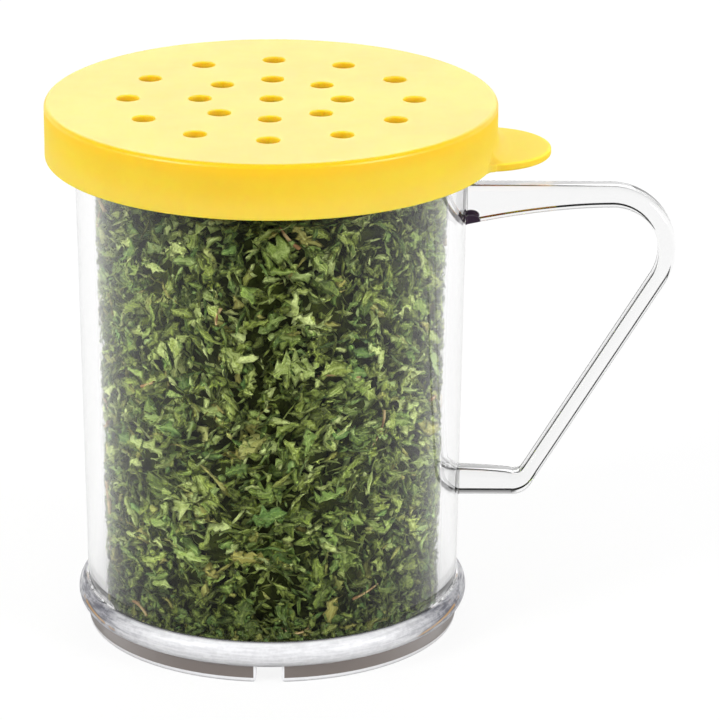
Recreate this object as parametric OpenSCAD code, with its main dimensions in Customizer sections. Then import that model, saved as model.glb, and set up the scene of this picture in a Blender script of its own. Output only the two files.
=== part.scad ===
// Shaker dredger: a clear handled jar, a perforated lift-off lid and the dried herb inside.
// Millimetres, +Z up. The origin is on the jar's axis at table level, and the handle points along +X.

/* [Jar] */
// Height from the table to the top of the rim
jar_h = 99.1; // [85:0.1:140]
// Outside diameter of the tapered wall, taken at table level
wall_base_d = 69.4; // [60:0.1:72]
// Outside diameter of the tapered wall, taken at the rim
wall_top_d = 72.4; // [64:0.1:74]
// Thickness of the wall
wall_t = 3.2; // [1.6:0.1:5]
// Thickness of the floor
floor_t = 3; // [1.6:0.1:6]
// Radius inside the jar between floor and wall
floor_fillet = 0.8; // [0.5:0.1:5]
// Height of the thick rim that carries the lid
rim_h = 4; // [2.5:0.1:6]
// Radius on the outer edges of the rim
rim_round = 1; // [0.3:0.1:1.2]

/* [Base] */
// Height of the foot ring below the floor
foot_h = 3.2; // [2:0.1:6]
// Thickness of the foot ring
foot_t = 2.6; // [1.6:0.1:5]
// Radius on the lower edges of the foot ring
foot_round = 0.6; // [0.2:0.1:0.7]
// Radius of the round bead over the foot ring
bead_r = 2.6; // [1.6:0.1:4]
// How far the bead stands out from the wall
bead_out = 1.8; // [0.6:0.1:2.4]
// Number of drain notches in the foot ring
notch_count = 4; // [2:1:8]
// Width of a drain notch
notch_w = 4.7; // [2:0.1:10]

/* [Handle] */
// Width of the bar, across the handle
handle_w = 5; // [3:0.1:10]
// Thickness of the bar along the grip
grip_t = 2.9; // [2.6:0.1:3.6]
// Thickness of the arms where they meet the bends
arm_t = 4; // [3:0.1:4.1]
// Thickness of the upper arm where it meets the wall
upper_root_t = 7.7; // [4.1:0.1:12]
// Thickness of the lower arm where it meets the wall
lower_root_t = 4.9; // [4.1:0.1:8]
// Radius on the edges of the bar
handle_round = 1.2; // [0.4:0.1:1.25]
// Distance from the jar's axis to the outermost point of the handle
handle_reach = 74.6; // [66:0.1:95]
// Distance from the rim down to the top of the upper arm
handle_drop = 14; // [9:0.1:25]
// Height of the underside of the lower arm
handle_low = 24.6; // [12:0.1:35]
// Outside radius of the bend above the grip
upper_bend_r = 12.3; // [7:0.1:18]
// Outside radius of the bend below the grip
lower_bend_r = 4.4; // [4.3:0.1:10]
// Length of the lower arm from the wall to its bend
lower_arm_len = 9.9; // [5:0.1:16]
// Softness of the inner corner between the grip and the lower arm
corner_blend = 0.5; // [0.1:0.1:0.5]

/* [Lid] */
// Diameter of the lid
lid_d = 83; // [80:0.1:95]
// Height of the lid from its top to the edge of the skirt
lid_h = 10.2; // [9:0.1:14]
// Thickness of the lid's top
lid_t = 1.6; // [1:0.1:3]
// Thickness of the skirt
skirt_t = 1.7; // [1.2:0.1:2.2]
// Radius on the upper edge of the lid
lid_round = 0.9; // [0.3:0.1:1.1]
// Diameter of a shaker hole
hole_d = 4.2; // [1.5:0.1:6]
// Diameter of the circle through the inner holes
inner_ring_d = 26; // [18:0.1:32]
// Number of holes on the inner circle
inner_holes = 8; // [4:1:8]
// Diameter of the circle through the outer holes
outer_ring_d = 52.4; // [42:0.1:58]
// Number of holes on the outer circle
outer_holes = 12; // [6:1:18]

/* [Lid tab] */
// How far the tab stands out from the skirt
tab_out = 9.8; // [5:0.1:16]
// Radius of the tab's round end
tab_r = 11.9; // [8:0.1:18]
// Thickness of the tab
tab_t = 1.5; // [1:0.1:3]
// Radius between the tab and the skirt
tab_fillet = 2.5; // [0.5:0.1:4]

/* [Fits] */
// Gap between the rim and the underside of the lid
seat_gap = 0.3; // [0.1:0.05:0.6]
// Gap between the rim and the inside of the skirt
rim_gap = 0.6; // [0.4:0.05:1]
// Gap between the rim and the skirt's snap bead as the lid lifts
snap_gap = 0.15; // [0.1:0.05:0.3]
// Radius of the snap bead inside the skirt
snap_r = 0.9; // [0.6:0.1:1.2]
// Gap between the herb and the jar
fill_gap = 0.3; // [0.1:0.05:1]

/* [Herb] */
// Height left empty between the herb and the rim
headspace = 10; // [4:0.5:40]
// How much higher the herb lies in the middle
fill_crown = 2; // [0:0.1:4]

/* [Hidden] */
$fn = 96;
// Extra depth of a cut past the face that it opens
cut = 1;

jar_color = [0.90, 0.93, 0.95, 0.35];
lid_color = [0.98, 0.82, 0.24];
herb_color = [0.24, 0.33, 0.12];

floor_z = foot_h + floor_t;
lid_r = lid_d / 2;
lid_top_z = jar_h + seat_gap + lid_t;
skirt_low_z = lid_top_z - lid_h;
skirt_in_r = lid_r - skirt_t;
rim_r = skirt_in_r - rim_gap;
rim_low_z = jar_h - rim_h;
bead_z = foot_h + bead_r;
fill_top_z = jar_h - headspace;
// A jar too wide for its lid draws in to a neck, from a shoulder below the skirt
neck_in = max(0, wall_r(jar_h) + rim_round - rim_r);
shoulder_z = skirt_low_z - rim_gap;
ledge_z = shoulder_z - wall_t;

// Outside and inside radius of the tapered wall at height z, and of the herb
function wall_r(z) = (wall_base_d + (wall_top_d - wall_base_d) * z / jar_h) / 2;
function bore_r(z) = wall_r(z) - wall_t;
function fill_r(z) = bore_r(z) - fill_gap - (z > ledge_z - fill_gap ? neck_in : 0);
// The two corners where an outline steps in from radius r to the neck
function step_in(r, z) = neck_in > 0 ? [[r, z], [r - neck_in, z]] : [];
function unit(a) = [cos(a), sin(a)];
function mix(a, b, u) = a + (b - a) * u;
function soft_max(a, b, soft) = (a + b + sqrt(pow(a - b, 2) + soft * soft)) / 2;

// The jar: floor, wall, rim, base bead and foot ring, turned about the axis

module wall_section() {
    ledge = step_in(bore_r(ledge_z), ledge_z);
    polygon(concat(
        [[wall_r(foot_h), foot_h]],
        step_in(wall_r(shoulder_z), shoulder_z),
        [[wall_r(jar_h) - neck_in, jar_h], [bore_r(jar_h) - neck_in, jar_h]],
        [for (i = [len(ledge) - 1 : -1 : 0]) ledge[i]],
        [[bore_r(foot_h), foot_h]]
    ));
}

module floor_section() {
    corner = [bore_r(floor_z), floor_z];
    translate([0, foot_h])
        square([wall_r(foot_h) - wall_t / 2, floor_t]);
    difference() {
        translate(corner - [floor_fillet, 0])
            square([floor_fillet + wall_t / 2, floor_fillet]);
        translate(corner + [-floor_fillet, floor_fillet])
            circle(floor_fillet);
    }
}

module rim_section() {
    root = wall_r(rim_low_z) - neck_in - wall_t / 2;
    translate([root, rim_low_z])
        square([rim_r - rim_round - root, rim_h]);
    translate([rim_r - 2 * rim_round, rim_low_z + rim_round])
        square([2 * rim_round, rim_h - 2 * rim_round]);
    for (z = [rim_low_z + rim_round, jar_h - rim_round])
        translate([rim_r - rim_round, z])
            circle(rim_round);
}

module bead_section() {
    intersection() {
        translate([wall_r(bead_z) + bead_out - bead_r, bead_z])
            circle(bead_r);
        translate([wall_r(bead_z) - wall_t / 2, 0])
            square([bead_r + bead_out + wall_t, 2 * bead_z]);
    }
}

module foot_section() {
    foot_r = wall_r(0);
    translate([foot_r - foot_t, foot_round])
        square([foot_t, foot_h - foot_round + floor_t / 2]);
    translate([foot_r - foot_t + foot_round, 0])
        square([foot_t - 2 * foot_round, 2 * foot_round]);
    for (x = [foot_r - foot_t + foot_round, foot_r - foot_round])
        translate([x, foot_round])
            circle(foot_round);
}

module drain_notches() {
    for (i = [0 : notch_count - 1])
        rotate(i * 360 / notch_count - 90)
            translate([wall_r(0) - foot_t - cut, -notch_w / 2, -cut])
                cube([foot_t + bead_out + 2 * cut, notch_w, foot_h + cut]);
}

module jar() {
    color(jar_color)
        difference() {
            rotate_extrude() {
                wall_section();
                floor_section();
                rim_section();
                bead_section();
                foot_section();
            }
            drain_notches();
        }
}

// The handle: one rounded bar swept along its outer edge, cut off on the wall at both ends

// Steps along an arm, along a bend, at the grip's lower end and round a corner of the bar
arm_steps = 10;
bend_steps = 16;
grip_steps = 5;
corner_steps = 4;
// Length of the grip's lower end, where the bar thickens towards the lower arm
grip_end = 2.5;

arm_top_z = jar_h - handle_drop;
arm_low_z = handle_low;
// The bar starts inside the wall, and the wall's own surface cuts its ends
upper_root_x = wall_r(arm_top_z) - wall_t / 2;
lower_root_x = wall_r(arm_low_z) - wall_t / 2;
upper_centre = [handle_reach - upper_bend_r, arm_top_z - upper_bend_r];
lower_centre = [wall_r(arm_low_z) + lower_arm_len, arm_low_z + lower_bend_r];
// The outer edge of the grip touches both bend circles, so this angle is square to it
centres = lower_centre - upper_centre;
grip_normal = atan2(centres.y, centres.x) + acos((upper_bend_r - lower_bend_r) / norm(centres));

// A station is a point on the bar's outer edge, the outward angle there and the bar's thickness
function upper_arm_stations() = [
    for (i = [0 : arm_steps - 1])
        let (u = i / arm_steps)
        [[mix(upper_root_x, upper_centre.x, u), arm_top_z], 90, mix(arm_t, upper_root_t, pow(1 - u, 1.7))]
];
function lower_arm_stations() = [
    for (i = [1 : arm_steps])
        let (u = i / arm_steps)
        [[mix(lower_centre.x, lower_root_x, u), arm_low_z], -90, mix(arm_t, lower_root_t, sqrt(u))]
];
function upper_bend_stations() = [
    for (i = [0 : bend_steps])
        let (u = i / bend_steps, a = mix(90, grip_normal, u))
        [upper_centre + upper_bend_r * unit(a), a, mix(arm_t, grip_t, u)]
];
function grip_end_stations() = [
    for (i = [0 : grip_steps - 1])
        let (
            away = grip_end * (1 - i / grip_steps),
            edge = lower_centre + lower_bend_r * unit(grip_normal) + away * unit(grip_normal + 90)
        )
        [edge, grip_normal, corner_t(edge, grip_normal)]
];
function lower_bend_stations() = [
    for (i = [0 : bend_steps])
        let (a = mix(grip_normal, -90, i / bend_steps), edge = lower_centre + lower_bend_r * unit(a))
        [edge, a, corner_t(edge, a)]
];
// Thickness at the lower bend, where the bar reaches in to the grip's inner side or to the arm's top
function corner_t(edge, a) = soft_max(grip_t, (arm_low_z + arm_t - edge.y) / -sin(a), corner_blend);
handle_stations = concat(
    upper_arm_stations(),
    upper_bend_stations(),
    grip_end_stations(),
    lower_bend_stations(),
    lower_arm_stations()
);

// Corners of the bar's rounded section at one station, as points in space
function bar_ring(station) =
    let (edge = station[0], out = unit(station[1]), thick = station[2])
    [
        for (k = [0 : 3], i = [0 : corner_steps])
            let (
                a = 90 * (k + i / corner_steps),
                side = (k == 0 || k == 3) ? 1 : -1,
                rise = k < 2 ? 1 : -1,
                across = side * (handle_w / 2 - handle_round) + handle_round * cos(a),
                outward = rise * (thick / 2 - handle_round) + handle_round * sin(a),
                at = edge + (outward - thick / 2) * out
            )
            [at.x, across, at.y]
    ];

module handle_bar() {
    rings = [for (s = handle_stations) bar_ring(s)];
    count = len(rings[0]);
    last = (len(rings) - 1) * count;
    sides = [
        for (j = [0 : len(rings) - 2], i = [0 : count - 1])
            let (a = j * count + i, b = j * count + (i + 1) % count)
            each [[a, b, b + count], [a, b + count, a + count]]
    ];
    polyhedron(
        points = [for (r = rings) each r],
        faces = concat([[for (i = [count - 1 : -1 : 0]) i]], sides, [[for (i = [0 : count - 1]) last + i]])
    );
}

module handle() {
    color(jar_color)
        difference() {
            handle_bar();
            cylinder(h = jar_h, d1 = wall_base_d, d2 = wall_top_d);
        }
}

// The lid: top, skirt with its snap bead, shaker holes and the tab that lifts it

module lid_section() {
    translate([0, lid_top_z - lid_t])
        square([lid_r - lid_round, lid_t]);
    translate([skirt_in_r, skirt_low_z])
        square([skirt_t, lid_h - lid_round]);
    translate([lid_r - lid_round, lid_top_z - lid_round])
        circle(lid_round);
    translate([rim_r + snap_gap + snap_r, rim_low_z - snap_r])
        circle(snap_r);
}

module ring_of_holes(count, circle_d) {
    for (i = [0 : count - 1])
        rotate(i * 360 / count)
            translate([circle_d / 2, 0, lid_top_z - lid_t - cut])
                cylinder(h = lid_t + 2 * cut, d = hole_d);
}

module tab_outline(height) {
    difference() {
        translate([lid_r + tab_out - tab_r, 0, skirt_low_z])
            cylinder(h = height, r = tab_r);
        translate([0, 0, skirt_low_z - cut])
            cylinder(h = height + 2 * cut, r = lid_r - skirt_t / 2);
    }
}

module lid_tab() {
    tab_outline(tab_t);
    intersection() {
        tab_outline(tab_t + tab_fillet);
        rotate_extrude()
            translate([lid_r, skirt_low_z + tab_t])
                difference() {
                    translate([-skirt_t / 2, -tab_t / 2])
                        square([skirt_t / 2 + tab_fillet, tab_t / 2 + tab_fillet]);
                    translate([tab_fillet, tab_fillet])
                        circle(tab_fillet);
                }
    }
}

module lid() {
    color(lid_color)
        difference() {
            union() {
                rotate_extrude()
                    lid_section();
                lid_tab();
            }
            ring_of_holes(1, 0);
            ring_of_holes(inner_holes, inner_ring_d);
            ring_of_holes(outer_holes, outer_ring_d);
        }
}

// The herb: one heap that fills the jar up to its headspace

module herb_fill() {
    low = floor_z + fill_gap;
    step_z = ledge_z - fill_gap;
    color(herb_color)
        rotate_extrude()
            polygon(concat(
                [
                    [0, low],
                    [fill_r(low) - floor_fillet, low],
                    [fill_r(low + floor_fillet), low + floor_fillet]
                ],
                fill_top_z > step_z ? step_in(fill_r(step_z), step_z) : [],
                [[fill_r(fill_top_z), fill_top_z], [0, fill_top_z + fill_crown]]
            ));
}

jar();
handle();
lid();
herb_fill();
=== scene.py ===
"""Shaker dredger: a clear handled jar of dried herb under a perforated yellow lid.

The file is laid out as an add-on: each piece has an operator, and a sidebar panel lists them.
Lengths are in metres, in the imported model's own frame, with the handle along +X.
"""

import math

import bmesh
import bpy
import numpy as np
from bpy.props import FloatProperty, FloatVectorProperty, IntProperty, PointerProperty, StringProperty
from mathutils import Matrix, Vector


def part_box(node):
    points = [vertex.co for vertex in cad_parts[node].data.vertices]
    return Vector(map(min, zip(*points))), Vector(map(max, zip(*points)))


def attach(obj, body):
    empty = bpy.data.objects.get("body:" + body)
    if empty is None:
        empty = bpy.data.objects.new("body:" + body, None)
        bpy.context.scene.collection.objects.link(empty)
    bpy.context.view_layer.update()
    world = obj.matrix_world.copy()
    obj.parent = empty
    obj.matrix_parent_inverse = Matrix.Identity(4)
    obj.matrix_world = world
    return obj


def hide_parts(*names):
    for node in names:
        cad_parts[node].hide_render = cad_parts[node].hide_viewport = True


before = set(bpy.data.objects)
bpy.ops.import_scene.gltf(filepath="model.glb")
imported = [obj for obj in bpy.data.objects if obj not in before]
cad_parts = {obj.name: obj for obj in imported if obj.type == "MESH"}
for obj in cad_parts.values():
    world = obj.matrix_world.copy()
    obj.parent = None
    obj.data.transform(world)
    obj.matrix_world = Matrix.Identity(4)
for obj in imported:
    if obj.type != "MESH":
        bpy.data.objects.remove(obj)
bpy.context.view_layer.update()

bl_info = {
    "name": "Shaker dredger",
    "version": (1, 0, 0),
    "blender": (4, 5, 0),
    "location": "View3D > Sidebar > Dredger",
    "description": "Builds a clear handled shaker jar, its lid, its dried herb and a white stage",
    "category": "Add Mesh",
}

MM = 0.001
ROUND_SIDES = 256
SHARP_DEGREES = 32

JAR_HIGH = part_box("jar")[1]
HANDLE_LOW, HANDLE_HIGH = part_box("handle")
LID_LOW, LID_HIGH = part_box("lid")
HERB_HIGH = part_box("herb_fill")[1]


# Settings

def size(name, description, millimetres):
    """A length property, given in millimetres."""
    metres = millimetres * MM
    return FloatProperty(name=name, description=description, default=metres, unit="LENGTH", precision=4)


def number(name, description, default):
    """A plain number property."""
    return FloatProperty(name=name, description=description, default=default, precision=3)


def turn(name, description, degrees):
    """An angle property, given in degrees."""
    radians = math.radians(degrees)
    return FloatProperty(name=name, description=description, default=radians, unit="ROTATION")


def count(name, description, default):
    """A whole number property."""
    return IntProperty(name=name, description=description, default=default, min=1)


def tint(name, description, default):
    """A colour property."""
    return FloatVectorProperty(
        name=name, description=description, default=default, subtype="COLOR", min=0, max=1
    )


class DredgerJar(bpy.types.PropertyGroup):
    """Sizes and colours of the clear jar."""

    base_radius: size("Base radius", "Outside radius of the tapered wall, taken at table level", 34.7)
    top_radius: size("Top radius", "Outside radius of the tapered wall, taken at the rim", 36.2)
    wall: size("Wall", "Thickness of the wall", 3.2)
    floor: size("Floor", "Thickness of the floor", 3)
    floor_fillet: size("Floor fillet", "Radius inside the jar between floor and wall", 0.8)
    rim_height: size("Rim height", "Height of the thick rim that carries the lid", 4)
    rim_round: size("Rim round", "Radius on the outer edges of the rim", 1)
    lip_round: size("Lip round", "Radius on the inner edge of the rim", 0.5)
    foot_height: size("Foot height", "Height of the foot ring below the floor", 3.2)
    foot_width: size("Foot width", "Thickness of the foot ring", 2.6)
    foot_round: size("Foot round", "Radius on the lower edges of the foot ring", 0.6)
    bead_radius: size("Bead radius", "Radius of the round bead over the foot ring", 2.6)
    bead_out: size("Bead out", "How far the bead stands out from the wall", 1.8)
    notch_count: count("Notches", "Number of drain notches in the foot ring", 4)
    notch_width: size("Notch width", "Width of a drain notch", 4.7)
    notch_round: size("Notch round", "Radius on the lower corners beside a notch", 0.9)
    # The bead's pale colour is scuffs together with a painted silver reflection of the light seen through
    # the thick plastic; it also paints the highlights on the foot ring's edges.
    scuff_and_reflection_tint: tint("Worn bead", "Colour of the scuffed plastic on the bead", (0.83, 0.83, 0.85))
    # Painted dark refraction: the room and herb seen dark through the bead, in a mottled pattern and
    # towards its two sides.
    dark_refraction_tint: tint("Smear", "Colour of the dark smears on the bead", (0.10, 0.10, 0.13))
    # The amber streaks and the dark band over them are painted refraction of the herb seen through the
    # bead.
    streak_rise: size("Streak rise", "How far a rusty streak climbs along a quarter of the bead", 5)
    amber_refraction_tint: tint("Streak colour", "Colour of the rusty streaks on the bead", (0.5, 0.28, 0.09))
    # Painted shade: the foot ring is coloured as the shadowed floor seen through its clear plastic.
    foot_shade_tint: tint("Foot ring", "Colour of the dulled plastic of the foot ring", (0.145, 0.115, 0.1))


class DredgerHandle(bpy.types.PropertyGroup):
    """Sizes of the handle's bar."""

    width: size("Width", "Width of the bar, across the handle", 5)
    grip: size("Grip", "Thickness of the bar along the grip", 2.9)
    arm: size("Arm", "Thickness of the arms where they meet the bends", 4)
    upper_root: size("Upper root", "Thickness of the upper arm where it meets the wall", 7.7)
    lower_root: size("Lower root", "Thickness of the lower arm where it meets the wall", 4.9)
    upper_round: size("Upper round", "Radius on the bar's upper edges", 1.4)
    lower_round: size("Lower round", "Radius on the bar's lower edges", 0.35)
    root_fillet: size("Root fillet", "Radius between the bar and the wall", 0.06)
    upper_bend: size("Upper bend", "Outside radius of the bend above the grip", 12.3)
    lower_bend: size("Lower bend", "Outside radius of the bend below the grip", 4.4)
    lower_arm: size("Lower arm", "Length of the lower arm from the wall to its bend", 9.9)
    corner_blend: size("Corner blend", "Softness of the inner corner between grip and lower arm", 0.5)
    # The mark is painted dark refraction: a dark spot on the bar under its upper root, where the joint with
    # the wall shows dark through the clear plastic.
    mark_out: size("Mark out", "Distance from the wall to the middle of the moulding mark", 0.9)
    mark_drop: size("Mark drop", "Distance from the arm's top to the middle of the moulding mark", 6.5)
    mark_width: size("Mark width", "Width of the moulding mark", 3.2)
    mark_height: size("Mark height", "Height of the moulding mark", 2.2)
    mark_tint: tint("Mark", "Colour of the moulding mark", (0.035, 0.016, 0.04))


class DredgerLid(bpy.types.PropertyGroup):
    """Sizes and colours of the lid."""

    top: size("Top", "Thickness of the lid's top", 1.6)
    skirt: size("Skirt", "Thickness of the skirt", 1.7)
    edge_round: size("Edge round", "Radius on the upper edge", 0.9)
    skirt_round: size("Skirt round", "Radius on the lower edges of the skirt", 0.35)
    inner_fillet: size("Inner fillet", "Radius inside between top and skirt", 0.6)
    snap_radius: size("Snap bead", "Radius of the snap bead inside the skirt", 0.9)
    snap_in: size("Snap bead in", "How far the snap bead stands in from the skirt", 0.45)
    snap_drop: size("Snap bead drop", "Distance from the lid's top to the middle of the snap bead", 6.8)
    hole: size("Hole", "Diameter of a shaker hole", 4.2)
    hole_round: size("Hole round", "Radius on the upper edge of a hole", 0.25)
    inner_ring: size("Inner ring", "Diameter of the circle through the inner holes", 26)
    inner_holes: count("Inner holes", "Number of holes on the inner circle", 8)
    outer_ring: size("Outer ring", "Diameter of the circle through the outer holes", 52.4)
    outer_holes: count("Outer holes", "Number of holes on the outer circle", 12)
    tab_radius: size("Tab radius", "Radius of the tab's round end", 11.9)
    tab: size("Tab", "Thickness of the tab", 1.5)
    tab_round: size("Tab round", "Radius on the edges of the tab", 0.45)
    tab_fillet: size("Tab fillet", "Radius between the tab and the skirt", 2.5)
    tab_blend: size("Tab blend", "Radius between the tab's outline and the skirt", 1.2)
    tint: tint("Colour", "Colour of the lid's plastic", (0.79, 0.57, 0.034))
    # Painted shade just under the lid's upper edge.
    edge_shade_tint: tint("Edge colour", "Colour of the lid just under its upper edge", (0.78, 0.51, 0.016))
    # Painted sheen, paler low on the skirt.
    skirt_sheen_tint: tint("Skirt colour", "Colour of the skirt at its lower edge", (0.79, 0.58, 0.08))
    # Painted light on the tab's upper face.
    tab_light_tint: tint("Tab colour", "Colour of the tab's upper face", (0.83, 0.67, 0.06))


class DredgerHerb(bpy.types.PropertyGroup):
    """Packing and colours of the dried herb."""

    seed: count("Seed", "Seed of every random draw", 11)
    gap: size("Gap", "Gap between the jar and the outermost flakes", 0.15)
    floor_reach: size("Floor reach", "How far the flakes reach in under the heap", 9)
    top_bend: size("Top bend", "Radius of the heap's upper edge", 2.5)
    thickness: size("Thickness", "Thickness of a flake in its middle", 0.14)
    core_depth: size("Core depth", "Depth of the dark core behind the flakes", 3)
    # Painted shade: flakes low in the heap are darkened towards the jar's floor.
    floor_shade: number("Floor shade", "Share of their lightness that flakes keep on the jar's floor", 0.2)
    shade_height: size("Shade height", "Height over the floor at which flakes are as light as the rest", 16)
    dark_tint: tint("Dark", "Colour of the darkest flakes", (0.05, 0.066, 0.005))
    middle_tint: tint("Middle", "Colour of the common flakes", (0.27, 0.34, 0.05))
    light_tint: tint("Light", "Colour of the palest flakes", (0.7, 0.79, 0.31))
    olive_tint: tint("Olive", "Colour of the yellowed flakes", (0.37, 0.34, 0.08))
    cool_tint: tint("Cool", "Colour of the greener flakes", (0.125, 0.265, 0.06))
    stem_tint: tint("Stem", "Colour of the dry stems", (0.50, 0.37, 0.17))
    # Painted shade: the core is coloured near black for the shade deep among the flakes.
    core_shade_tint: tint("Core", "Colour of the heap between the flakes", (0.022, 0.027, 0.003))


class DredgerStage(bpy.types.PropertyGroup):
    """Camera, floor and light."""

    elevation: turn("Elevation", "Height of the camera above the horizon", 19.604)
    roll: turn("Roll", "Turn of the camera about its own axis", 0.239)
    distance: size("Distance", "Distance from the camera to its aim", 819.7)
    lens: number("Lens", "Focal length in millimetres on a sensor 36 mm wide", 219.8)
    aim: FloatVectorProperty(
        name="Aim", description="Point that the camera looks at",
        default=(16.417 * MM, 0, 50.414 * MM), unit="LENGTH",
    )
    floor_size: size("Floor size", "Length of the floor's sides", 6000)
    floor_tint: tint("Floor", "Colour of the floor as it is seen", (0.9, 0.9, 0.9))
    floor_bounce: tint("Floor bounce", "Colour of the light that the floor throws back", (0.6, 0.6, 0.6))
    floor_glow: number("Floor glow", "Share of plain white in the floor as it is seen", 0.86)
    dome_high: number("Dome above", "Strength of the light from straight above", 0.8)
    dome_low: number("Dome below", "Strength of the light from the horizon down", 0.5)
    backdrop_top: turn("Backdrop top", "Height of the white backdrop's upper edge above the horizon", 21)
    dark_level: number("Dark level", "Brightness of the room in reflections, on the viewer's side", 0.015)
    side_level: number("Side level", "Brightness of the room in reflections, straight to the sides", 0.7)


# Mesh tools

def arc(centre, radius, start, stop, steps):
    """Points of an arc in a plane, with its angles in degrees."""
    angles = np.radians(np.linspace(start, stop, steps + 1))
    return [(centre[0] + radius * math.cos(a), centre[1] + radius * math.sin(a)) for a in angles]


def add_object(name, data):
    """A new object in the scene, for a mesh, a lamp or a lens."""
    made = bpy.data.objects.new(name, data)
    bpy.context.scene.collection.objects.link(made)
    return made


def new_piece(name, shape):
    """A new object from a bmesh, with its faces turned outwards."""
    bmesh.ops.recalc_face_normals(shape, faces=shape.faces)
    mesh = bpy.data.meshes.new(name)
    shape.to_mesh(mesh)
    shape.free()
    return add_object(name, mesh)


def bridge(shape, rings):
    """Faces between neighbouring rings of vertices, where a ring of one vertex is a point."""
    for lower, upper in zip(rings, rings[1:]):
        sides = max(len(lower), len(upper))
        for i in range(sides):
            below = [lower[i % len(lower)], lower[(i + 1) % len(lower)]]
            above = [upper[(i + 1) % len(upper)], upper[i % len(upper)]]
            shape.faces.new(list(dict.fromkeys(below + above)))


def closed_tube(shape, rings):
    """Faces between neighbouring rings, with a face over each end."""
    bridge(shape, rings)
    shape.faces.new(rings[0])
    shape.faces.new(rings[-1])


def turned(name, section, segments):
    """A solid of revolution about Z, from an outline that starts and ends on the axis."""
    shape = bmesh.new()
    angles = [math.tau * i / segments for i in range(segments)]
    rings = []
    for radius, height in section:
        used = angles if radius > 0 else angles[:1]
        circle = [(radius * math.cos(a), radius * math.sin(a), height) for a in used]
        rings.append([shape.verts.new(point) for point in circle])
    bridge(shape, rings)
    return new_piece(name, shape)


def settle(piece):
    """Make the result of a piece's modifiers its own mesh."""
    graph = bpy.context.evaluated_depsgraph_get()
    mesh = bpy.data.meshes.new_from_object(piece.evaluated_get(graph))
    piece.modifiers.clear()
    piece.data = mesh
    mesh.name = piece.name


def combine(piece, tool, operation):
    """Cut a tool out of a piece, or join it on, and remove the tool."""
    modifier = piece.modifiers.new("combine", "BOOLEAN")
    modifier.operation = operation
    modifier.object = tool
    modifier.solver = "EXACT"
    settle(piece)
    bpy.data.objects.remove(tool)
    if not piece.data.polygons:
        raise RuntimeError(f"{piece.name} was lost in a boolean cut")


def smooth(piece, degrees):
    """Smooth shading, with sharp edges over an angle and flat faces kept flat."""
    piece.data.shade_smooth()
    piece.data.set_sharp_from_angle(angle=math.radians(degrees))
    modifier = piece.modifiers.new("flat_faces", "WEIGHTED_NORMAL")
    modifier.keep_sharp = True
    modifier.weight = 90
    settle(piece)


def dress(piece, material, body, slot, *nodes):
    """Give a piece its material, the body that it rides on and the nodes that it stands for."""
    piece.data.materials.clear()
    piece.data.materials.append(material)
    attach(piece, body)
    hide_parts(*nodes)


# Shader tools

class Field:
    """One value in a node tree, so that shader maths reads as arithmetic."""

    def __init__(self, nodes, socket):
        self.nodes = nodes
        self.socket = socket

    def math(self, operation, first, second):
        """The result of a Math node on two values."""
        values = {"Value": first, "Value_001": second}
        return self.nodes.node("ShaderNodeMath", {"operation": operation}, values)["Value"]

    def __add__(self, other):
        return self.math("ADD", self, other)

    def __radd__(self, other):
        return self.math("ADD", other, self)

    def __sub__(self, other):
        return self.math("SUBTRACT", self, other)

    def __rsub__(self, other):
        return self.math("SUBTRACT", other, self)

    def __mul__(self, other):
        return self.math("MULTIPLY", self, other)

    def __rmul__(self, other):
        return self.math("MULTIPLY", other, self)

    def __truediv__(self, other):
        return self.math("DIVIDE", self, other)

    def __pow__(self, other):
        return self.math("POWER", self, other)

    def __abs__(self):
        return self.math("ABSOLUTE", self, 0)

    def larger(self, other):
        return self.math("MAXIMUM", self, other)

    def smaller(self, other):
        return self.math("MINIMUM", self, other)

    def step(self, low, high):
        """0 below low, 1 above high, and smooth between them."""
        settings = {"interpolation_type": "SMOOTHSTEP"}
        limits = {"Value": self, "From Min": low, "From Max": high}
        return self.nodes.node("ShaderNodeMapRange", settings, limits)["Result"]


class Made:
    """A node that was made, whose outputs are read by name as fields."""

    def __init__(self, nodes, node):
        self.nodes = nodes
        self.node = node

    def __getitem__(self, name):
        return Field(self.nodes, pick(self.node.outputs, name))


def pick(sockets, name):
    """A socket by its identifier or its name."""
    for socket in sockets:
        if socket.identifier == name:
            return socket
    return sockets[name]


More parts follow.
